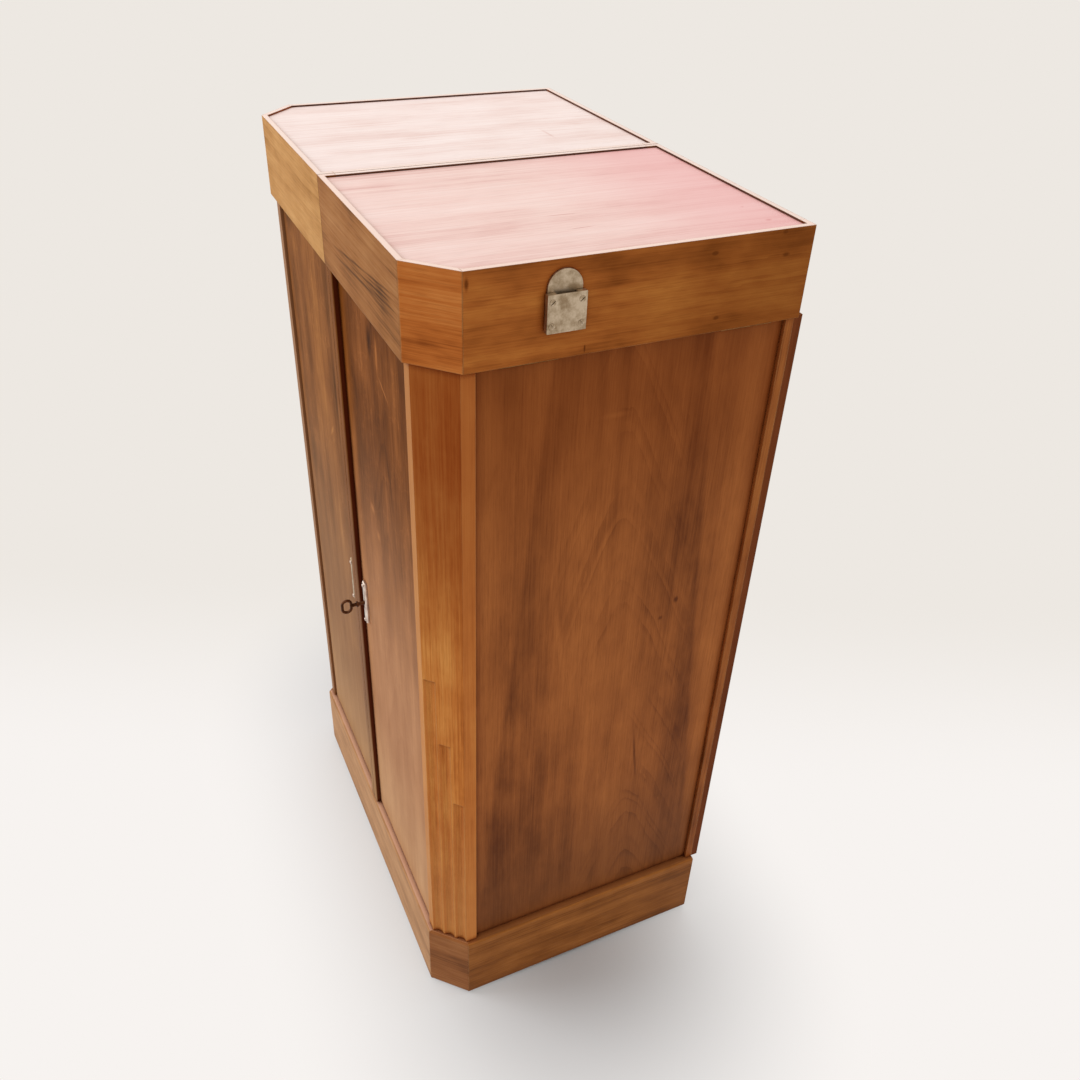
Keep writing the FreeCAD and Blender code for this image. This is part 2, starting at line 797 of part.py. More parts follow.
def oval(across, centre_y, width, height):
    """A flat oval seen from the side, with round ends at its top and bottom."""
    radius = width / 2
    straight = height / 2 - radius
    pieces = [block(across, around(centre_y, radius), around(s.key_height, straight))]
    for z in around(s.key_height, straight):
        pieces.append(rod(radius, "x", (across[0], centre_y, z), across[1] - across[0]))
    return fuse(*pieces)


def bevelled(source, size):
    """The source with every edge of its two flat sides bevelled."""
    doc.recompute()
    sides = (source.Shape.BoundBox.XMin, source.Shape.BoundBox.XMax)
    bevel = doc.addObject("Part::Chamfer", "bevel")
    bevel.Base = source
    bevel.Edges = [
        (number, size.value, size.value)
        for number, edge in enumerate(source.Shape.Edges, start=1)
        if any(abs(edge.BoundBox.XMin - x) + abs(edge.BoundBox.XMax - x) < TOUCHING for x in sides)
    ]
    return bevel


def make_key():
    """Key with an oval bow, a collar that stops clear of the plate, and a plain bit."""
    x = s.key_offset
    z = s.key_height
    plate_front = door_front - s.plate_thickness
    bow_y = plate_front - s.bow_reach
    across = around(x, s.bow_thickness / 2)
    ring = cut(
        oval(across, bow_y, s.bow_width, s.bow_height),
        oval(grown(across, s.cut_overrun), bow_y, s.bow_width - s.bow_rim * 2, s.bow_height - s.bow_rim * 2),
    )
    shank_start = bow_y + s.bow_width / 2 - s.bow_rim / 2
    shank = rod(s.shank_radius, "y", (x, shank_start, z), bolt_y()[1] - shank_start)
    collar_start = plate_front - s.collar_stand - s.collar_thickness
    collar = rod(s.collar_radius, "y", (x, collar_start, z), s.collar_thickness)
    bit_y = around(door_back + s.case_depth / 2, s.bit_length / 2)
    bit = block(around(x, s.bit_thickness / 2), bit_y, (z - s.bit_reach, z))
    node(fuse(shank, collar, bit, bevelled(ring, s.bow_bevel)), "key")


def make_flush_bolt():
    """Sliding bolt let into the meeting edge of the left door, drawn down at rest."""
    x = flush_x()
    y = flush_y()
    low = door_top - s.flush_case_length
    face = -meeting_edge
    case = block((face - s.flush_case_width, face), around(y, s.flush_case_depth / 2), (low, door_top))
    bolt_top = door_top - s.bolt_tip_setback
    bolt_bottom = bolt_top - s.flush_length
    bore_radius = s.flush_radius + s.flush_clearance
    bore = rod(bore_radius, "z", (x, y, bolt_bottom - s.seat_clearance), s.flush_length + s.cut_overrun)
    knob_z = bolt_bottom + s.flush_length / 2
    knob_slot = block(
        (x, face + s.cut_overrun),
        around(y, s.flush_knob_radius + s.bolt_clearance),
        (
            knob_z - s.flush_knob_radius - s.bolt_clearance,
            knob_z + s.flush_throw + s.flush_knob_radius + s.bolt_clearance,
        ),
    )
    node(cut(case, bore, knob_slot), "flush_bolt_case")
    bolt = rod(s.flush_radius, "z", (x, y, bolt_bottom), s.flush_length)
    knob = rod(s.flush_knob_radius, "x", (x, y, knob_z), face - s.bolt_tip_setback - x)
    node(fuse(bolt, knob), "flush_bolt")


def socket_centre():
    return s.socket_setback - half_depth


def make_socket():
    """Metal pocket on the right lid: an arched back plate and a box with a slot in its top."""
    centre = socket_centre()
    low = lid_bottom + s.socket_lift
    plate_x = (half_width, half_width + s.socket_plate_thickness)
    arch_z = low + s.socket_arch_height - s.socket_arch_radius
    stem = block(plate_x, around(centre, s.socket_arch_radius), (low, arch_z))
    arch = rod(s.socket_arch_radius, "x", (half_width, centre, arch_z), s.socket_plate_thickness)
    node(fuse(stem, arch), "socket_plate")
    box_x = (plate_x[1], plate_x[1] + s.socket_box_depth)
    high = low + s.socket_height
    shell = block(box_x, around(centre, s.socket_width / 2), (low, high))
    slot = block(
        (plate_x[1] - s.cut_overrun, plate_x[1] + s.socket_slot_gap),
        around(centre, s.socket_slot_width / 2),
        (high - s.socket_slot_depth, high + s.cut_overrun),
    )
    node(cut(shell, slot), "socket_box")


def check_and_write():
    doc.recompute()
    for thing in doc.Objects:
        assert not {"Invalid", "Error"} & set(thing.State), "%s failed" % thing.Label
    for label, thing in NODES.items():
        shape = thing.Shape
        assert not shape.isNull() and shape.isValid() and shape.Solids, "%s has no sound solid" % label
    os.makedirs("parts", exist_ok=True)
    for label, thing in NODES.items():
        thing.Shape.exportStep("parts/%s.step" % label)
    print("%d pieces written" % len(NODES))


make_plinth()
make_corner_posts()
make_sides()
make_boards()
make_shelf_and_rack()
make_lids()
make_lid_hinges()
make_pivots()
make_doors()
make_key_plates()
make_lock()
make_key()
make_flush_bolt()
make_socket()
check_and_write()
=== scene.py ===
"""Looks of the cellarette: walnut veneer, lid tops bleached pale under a painted sheen, nickel fittings
and an iron key.

Metres, +Z up, the doors face -Y. The CAD meshes stay as they were packed. This script gives them materials,
eases the edges of the metal pocket with modifiers, adds the small fasteners, and sets the photograph's
camera, floor and light.
"""
import math

import bmesh
import bpy
from mathutils import Matrix, Vector


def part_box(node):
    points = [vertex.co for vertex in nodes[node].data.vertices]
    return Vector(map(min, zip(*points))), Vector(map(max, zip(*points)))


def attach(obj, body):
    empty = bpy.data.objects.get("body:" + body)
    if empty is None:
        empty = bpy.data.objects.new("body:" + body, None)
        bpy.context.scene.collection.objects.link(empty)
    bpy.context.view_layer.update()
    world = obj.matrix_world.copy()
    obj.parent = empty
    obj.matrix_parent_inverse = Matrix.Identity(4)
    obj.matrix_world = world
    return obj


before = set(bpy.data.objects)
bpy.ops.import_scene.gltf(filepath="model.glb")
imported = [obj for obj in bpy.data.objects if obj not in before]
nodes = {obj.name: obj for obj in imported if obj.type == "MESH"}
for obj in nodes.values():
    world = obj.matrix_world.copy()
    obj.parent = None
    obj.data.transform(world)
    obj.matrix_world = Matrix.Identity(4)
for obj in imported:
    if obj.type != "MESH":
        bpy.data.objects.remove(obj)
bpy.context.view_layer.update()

MM = 0.001
UP = (0, 0, 1)
DOWN = (0, 0, -1)
FRONT = (0, -1, 0)
LEFT = (-1, 0, 0)
RIGHT = (1, 0, 0)


def paint(code):
    """Linear colour of an sRGB hex value."""
    shares = [int(code[i:i + 2], 16) / 255 for i in (0, 2, 4)]
    return (*[c / 12.92 if c <= 0.04045 else ((c + 0.055) / 1.055) ** 2.4 for c in shares], 1.0)


def add(tree, kind, inputs=None, out=0, stops=(), **settings):
    """Adds a node, sets it up, links or fills its inputs, and returns one of its outputs."""
    made = tree.nodes.new(kind)
    for name, value in settings.items():
        setattr(made, name, value)
    for key, value in (inputs or {}).items():
        if isinstance(value, bpy.types.NodeSocket):
            tree.links.new(value, made.inputs[key])
        else:
            made.inputs[key].default_value = value
    if stops:
        elements = made.color_ramp.elements
        while len(elements) < len(stops):
            elements.new(0.5)
        for element, (position, code) in zip(elements, stops):
            element.position = position
            element.color = paint(code)
    return made.outputs[out] if len(made.outputs) else None


def new_material(name):
    """An empty material and its node tree."""
    material = bpy.data.materials.new(name)
    material.use_nodes = True
    material.node_tree.nodes.clear()
    return material, material.node_tree


# Wood

# Sizes of what shows in the walnut, along and across the grain, in mm
SWAY_SIZE = (420, 110)
JITTER_SIZE = (90, 9)
PATCH_SIZE = (240, 90)
BAND_SIZE = (1200, 42)
WISP_SIZE = (46, 60)
RUB_SIZE = (30, 14)
# Real pores are about 0.2 mm wide and real fibres finer. Both are drawn wider so that they still show
FIBRE_SIZE = (120, 1.9)
PORE_SIZE = (24, 1.1)
# Steps and shares without a unit
SEED_STEP = 3.7
RING_START = 50.0
CROWN_SPREAD = 7
BORDER_SWAY = 0.5
MARK_SWAY = 0.35
WISP_WIDTH = 0.012
LACQUER_IOR = 1.5
# Lengths in metres
EDGE_RADIUS = 1.6 * MM
SHADE_AND_GRIME_REACH = 9 * MM
GRAIN_DEPTH = 0.12 * MM


def board_space(tree, along, across, turn):
    """A board's own along, across and depth lengths, with an optional turn about the upright axis."""
    place = add(tree, "ShaderNodeTexCoord", out="Object")
    if turn:
        place = add(tree, "ShaderNodeMapping", {"Vector": place, "Rotation": (0, 0, math.radians(turn))})
    axes = add(tree, "ShaderNodeSeparateXYZ", {0: place}).node.outputs
    depth = ({"X", "Y", "Z"} - {along, across}).pop()
    return axes[along], axes[across], axes[depth]


def figure(tree, space, seed, size, detail=2.0, rough=0.55):
    """Noise whose grains have about the given (along, across) size on the board, in mm."""
    along, across = size
    scaled = [
        add(tree, "ShaderNodeMath", {0: axis, 1: 1 / (length * MM), 2: seed * SEED_STEP},
            operation="MULTIPLY_ADD")
        for axis, length in zip(space, (along, across, across))
    ]
    grain = add(tree, "ShaderNodeCombineXYZ", {0: scaled[0], 1: scaled[1], 2: scaled[2]})
    return add(tree, "ShaderNodeTexNoise",
               {"Vector": grain, "Scale": 1.0, "Detail": detail, "Roughness": rough})


def growth_lines(tree, space, sway, seed, pitch, crown):
    """Thin darker lines between the years' growth, straight or closed into a crown.

    A crown is (centre in mm, lean, width in mm, slope). The lines come and go along the board, and those
    of a crown fade out to its sides.
    """
    side = add(tree, "ShaderNodeMath", {0: space[1], 1: sway}, operation="ADD")
    share = 1.0
    if crown:
        centre, lean, width, slope = crown
        axis = add(tree, "ShaderNodeMath", {0: space[0], 1: -lean, 2: -centre * MM},
                   operation="MULTIPLY_ADD")
        off = add(tree, "ShaderNodeMath", {0: side, 1: axis}, operation="ADD")
        square = add(tree, "ShaderNodeMath", {0: off, 1: off, 2: (width * MM) ** 2},
                     operation="MULTIPLY_ADD")
        reach = add(tree, "ShaderNodeMath", {0: square}, operation="SQRT")
        side = add(tree, "ShaderNodeMath", {0: space[0], 1: slope, 2: reach}, operation="MULTIPLY_ADD")
        share = add(tree, "ShaderNodeMapRange",
                    {"Value": reach, "From Min": width * MM, "From Max": width * CROWN_SPREAD * MM,
                     "To Min": 1.0, "To Max": 0.1})
    ring = add(tree, "ShaderNodeMath", {0: side, 1: 1 / (pitch * MM), 2: RING_START},
               operation="MULTIPLY_ADD")
    uneven = add(tree, "ShaderNodeTexNoise", {"W": ring, "Scale": 0.6, "Detail": 2.0},
                 noise_dimensions="1D")
    ring = add(tree, "ShaderNodeMath", {0: uneven, 1: 2.6, 2: ring}, operation="MULTIPLY_ADD")
    jitter = figure(tree, space, seed + 2, JITTER_SIZE, 3.0)
    ring = add(tree, "ShaderNodeMath", {0: jitter, 1: 0.5, 2: ring}, operation="MULTIPLY_ADD")
    ring = add(tree, "ShaderNodeMath", {0: ring}, operation="FRACT")
    line = add(tree, "ShaderNodeMapRange",
               {"Value": ring, "From Min": 0.5, "From Max": 0.92, "To Min": 0.1, "To Max": -0.4})
    patch = figure(tree, space, seed + 3, PATCH_SIZE)
    patch = add(tree, "ShaderNodeMapRange", {"Value": patch, "From Min": 0.42, "From Max": 0.58})
    line = add(tree, "ShaderNodeMath", {0: line, 1: patch}, operation="MULTIPLY")
    return add(tree, "ShaderNodeMath", {0: line, 1: share}, operation="MULTIPLY")


def slanted(tree, space, sway, along, across, slant, follow):
    """Distance across the grain from a slanting line through a point, bent by a share of the sway."""
    lean = add(tree, "ShaderNodeMath", {0: space[0], 1: -slant, 2: (slant * along - across) * MM},
               operation="MULTIPLY_ADD")
    off = add(tree, "ShaderNodeMath", {0: space[1], 1: lean}, operation="ADD")
    return add(tree, "ShaderNodeMath", {0: sway, 1: follow, 2: off}, operation="MULTIPLY_ADD")


def heartwood(tree, shade, space, sway, borders):
    """Wood that starts dark at a slanting border and fades away from it.

    A border is (along, across, slant, signed reach, strength), with its place and reach in mm.
    """
    for along, across, slant, reach, strength in borders:
        off = slanted(tree, space, sway, along, across, slant, BORDER_SWAY)
        inward = add(tree, "ShaderNodeMath", {0: off, 1: 1 / (reach * MM)}, operation="MULTIPLY")
        depth = add(tree, "ShaderNodeValToRGB", {0: inward},
                    stops=((0.0, "000000"), (0.08, "FFFFFF"), (0.4, "A8A8A8"), (1.0, "000000")))
        shade = add(tree, "ShaderNodeMath", {0: depth, 1: -strength, 2: shade},
                    operation="MULTIPLY_ADD")
    return shade


def marked(tree, shade, space, sway, marks):
    """Streaks, knots, dents and stains, dark or, with a strength below 0, light.

    A mark is (along, across, half length, half width, slant, strength), with its place and size in mm.
    """
    for along, across, half_along, half_across, slant, strength in marks:
        lengthwise = add(tree, "ShaderNodeMath",
                         {0: space[0], 1: 1 / (half_along * MM), 2: -along / half_along},
                         operation="MULTIPLY_ADD")
        off = slanted(tree, space, sway, along, across, slant, MARK_SWAY)
        crosswise = add(tree, "ShaderNodeMath", {0: off, 1: 1 / (half_across * MM)}, operation="MULTIPLY")
        spot = add(tree, "ShaderNodeCombineXYZ", {0: lengthwise, 1: crosswise})
        away = add(tree, "ShaderNodeVectorMath", {0: spot}, out="Value", operation="LENGTH")
        depth = add(tree, "ShaderNodeMapRange", {"Value": away, "To Min": strength, "To Max": 0.0},
                    interpolation_type="SMOOTHSTEP")
        shade = add(tree, "ShaderNodeMath", {0: shade, 1: depth}, operation="SUBTRACT")
    return shade


def tinted(tree, colour, space, ends, faces):
    """Wood that turns towards another colour along its length or on faces that look one way.

    Besides real fading, these tints carry painted light and shade: the sheen low on the doors and beads,
    and paler or darker faces on lid rims, posts, bead sides and plinth ledges.

    An end is (from, to, colour, strength), in mm along the grain. A face is (direction, colour, strength).
    """
    for start, end, code, strength in ends:
        lengthwise_tint = add(tree, "ShaderNodeMapRange",
                   {"Value": space[0], "From Min": start * MM, "From Max": end * MM,
                    "To Min": 0.0, "To Max": strength},
                   interpolation_type="SMOOTHSTEP")
        colour = add(tree, "ShaderNodeMix", {0: lengthwise_tint, 6: colour, 7: paint(code)}, out=2, data_type="RGBA")
    normal = add(tree, "ShaderNodeTexCoord", out="Normal")
    for direction, code, strength in faces:
        towards = add(tree, "ShaderNodeVectorMath", {0: normal, 1: direction}, out="Value",
                      operation="DOT_PRODUCT")
        towards = add(tree, "ShaderNodeMapRange",
                      {"Value": towards, "From Min": 0.95, "From Max": 0.99,
                       "To Min": 0.0, "To Max": strength})
        colour = add(tree, "ShaderNodeMix", {0: towards, 6: colour, 7: paint(code)}, out=2, data_type="RGBA")
    return colour


def rubbed_and_highlit_edges(tree, colour, space, seed, rounded, code):
    """Paler wood in patches along the edges, where hands and cloths have rubbed the lacquer through.

    The paler edges are also painted highlights, where rounded arrises catch the light.
    """
    sharp = add(tree, "ShaderNodeNewGeometry", out="Normal")
    edge = add(tree, "ShaderNodeVectorMath", {0: rounded, 1: sharp}, out="Value", operation="DOT_PRODUCT")
    edge = add(tree, "ShaderNodeMapRange", {"Value": edge, "From Min": 0.98, "From Max": 0.75})
    rub = figure(tree, space, seed + 10, RUB_SIZE, 3.0)
    rub = add(tree, "ShaderNodeMapRange",
              {"Value": rub, "From Min": 0.35, "From Max": 0.6, "To Min": 0.1, "To Max": 0.9})
    worn = add(tree, "ShaderNodeMath", {0: edge, 1: rub}, operation="MULTIPLY")
    return add(tree, "ShaderNodeMix", {0: worn, 6: colour, 7: paint(code)}, out=2, data_type="RGBA")


def walnut(name, light, middle, dark, along="Z", across="Y", turn=0, seed=1.0, crown=None, pitch=26,
           wander=12, rings=0.25, fibres=0.65, bands=0.8, clouds=(70, 34), mottle=0.6, wisps=0.0,
           borders=(), marks=(), ends=(), faces=(), ghost=0.3, pored=0.2, rubbed="C88E5A",
           corners="7A4A34", shade_and_grime_stops=(0.3, 0.65, 0.85), gloss=0.06, rough=0.42):
    """Sliced walnut veneer under worn satin lacquer.

    It shows the eye long soft fibres, thin growth lines, uneven brown bands, soiling with painted shade in
    the tight inner corners, and paler rubbed edges with painted highlights. The lacquer gives a broad sheen,
    a little duller along the dark fibres.
    pitch, wander and clouds are in mm, and turn is in degrees.
    """
    material, tree = new_material(name)
    space = board_space(tree, along, across, turn)
    drift = figure(tree, space, seed, SWAY_SIZE)
    sway = add(tree, "ShaderNodeMath", {0: drift, 1: 2 * wander * MM, 2: -wander * MM},
               operation="MULTIPLY_ADD")
    growth = growth_lines(tree, space, sway, seed, pitch, crown)
    fibre = figure(tree, space, seed + 4, FIBRE_SIZE, 4.0, 0.65)
    band = figure(tree, space, seed + 6, BAND_SIZE)
    cloud = figure(tree, space, seed + 7, clouds, 3.0)
    shade = add(tree, "ShaderNodeMath", {0: growth, 1: rings, 2: 0.5}, operation="MULTIPLY_ADD")
    for part, strength in ((fibre, fibres), (band, bands), (cloud, mottle)):
        shade = add(tree, "ShaderNodeMath", {0: part, 1: strength, 2: shade}, operation="MULTIPLY_ADD")
    shade = add(tree, "ShaderNodeMath", {0: shade, 1: (fibres + bands + mottle) / 2},
                operation="SUBTRACT")
    if wisps:
        curl = figure(tree, space, seed + 12, WISP_SIZE, 3.0)
        nearness = add(tree, "ShaderNodeMath", {0: curl, 1: 0.5, 2: WISP_WIDTH}, operation="COMPARE")
        shade = add(tree, "ShaderNodeMath", {0: nearness, 1: wisps, 2: shade}, operation="MULTIPLY_ADD")
    shade = heartwood(tree, shade, space, sway, borders)
    shade = marked(tree, shade, space, sway, marks)
    colour = add(tree, "ShaderNodeValToRGB", {0: shade}, stops=((0.15, dark), (0.5, middle), (0.85, light)))
    pore = figure(tree, space, seed + 8, PORE_SIZE)
    pores = add(tree, "ShaderNodeValToRGB", {0: pore}, stops=((0.36, "A89C94"), (0.47, "FFFFFF")))
    colour = add(tree, "ShaderNodeMix", {0: pored, 6: colour, 7: pores}, out=2,
                 data_type="RGBA", blend_type="MULTIPLY")
    colour = tinted(tree, colour, space, ends, faces)
    colour = add(tree, "ShaderNodeMix", {0: ghost, 6: colour, 7: shade}, out=2,
                 data_type="RGBA", blend_type="SOFT_LIGHT")
    rounded = add(tree, "ShaderNodeBevel", {"Radius": EDGE_RADIUS}, samples=4)
    # Paler edges in patches: rubbed wear, and painted highlights on the arrises
    colour = rubbed_and_highlit_edges(tree, colour, space, seed, rounded, rubbed)
    # Ambient occlusion darkens tight corners and recesses: soiling, and painted shade where shade falls
    hollow = add(tree, "ShaderNodeAmbientOcclusion", {"Distance": SHADE_AND_GRIME_REACH}, out="AO", samples=4)
    shade_and_grime = add(tree, "ShaderNodeValToRGB", {0: hollow},
                stops=tuple(zip(shade_and_grime_stops, (corners, "E0CCC0", "FFFFFF"))))
    colour = add(tree, "ShaderNodeMix", {0: 1.0, 6: colour, 7: shade_and_grime}, out=2,
                 data_type="RGBA", blend_type="MULTIPLY")
    dull = add(tree, "ShaderNodeMapRange", {"Value": fibre, "To Min": rough + 0.1, "To Max": rough - 0.05})
    relief = add(tree, "ShaderNodeMath", {0: pore, 1: 0.5, 2: fibre}, operation="MULTIPLY_ADD")
    bump = add(tree, "ShaderNodeBump",
               {"Strength": 0.2, "Distance": GRAIN_DEPTH, "Height": relief, "Normal": rounded})
    shader = add(tree, "ShaderNodeBsdfPrincipled",
                 {"Base Color": colour, "Roughness": dull, "Normal": bump,
                  "IOR": LACQUER_IOR, "Specular IOR Level": gloss})
    add(tree, "ShaderNodeOutputMaterial", {"Surface": shader})
    return material


# Pale tops of the lid boards' rims: bleached wood and a painted sheen
BLEACHED_SHEEN_RIM = (UP, "F0DCD4", 0.95)
ROSY_SHEEN_RIM = (UP, "F4DCD2", 0.95)
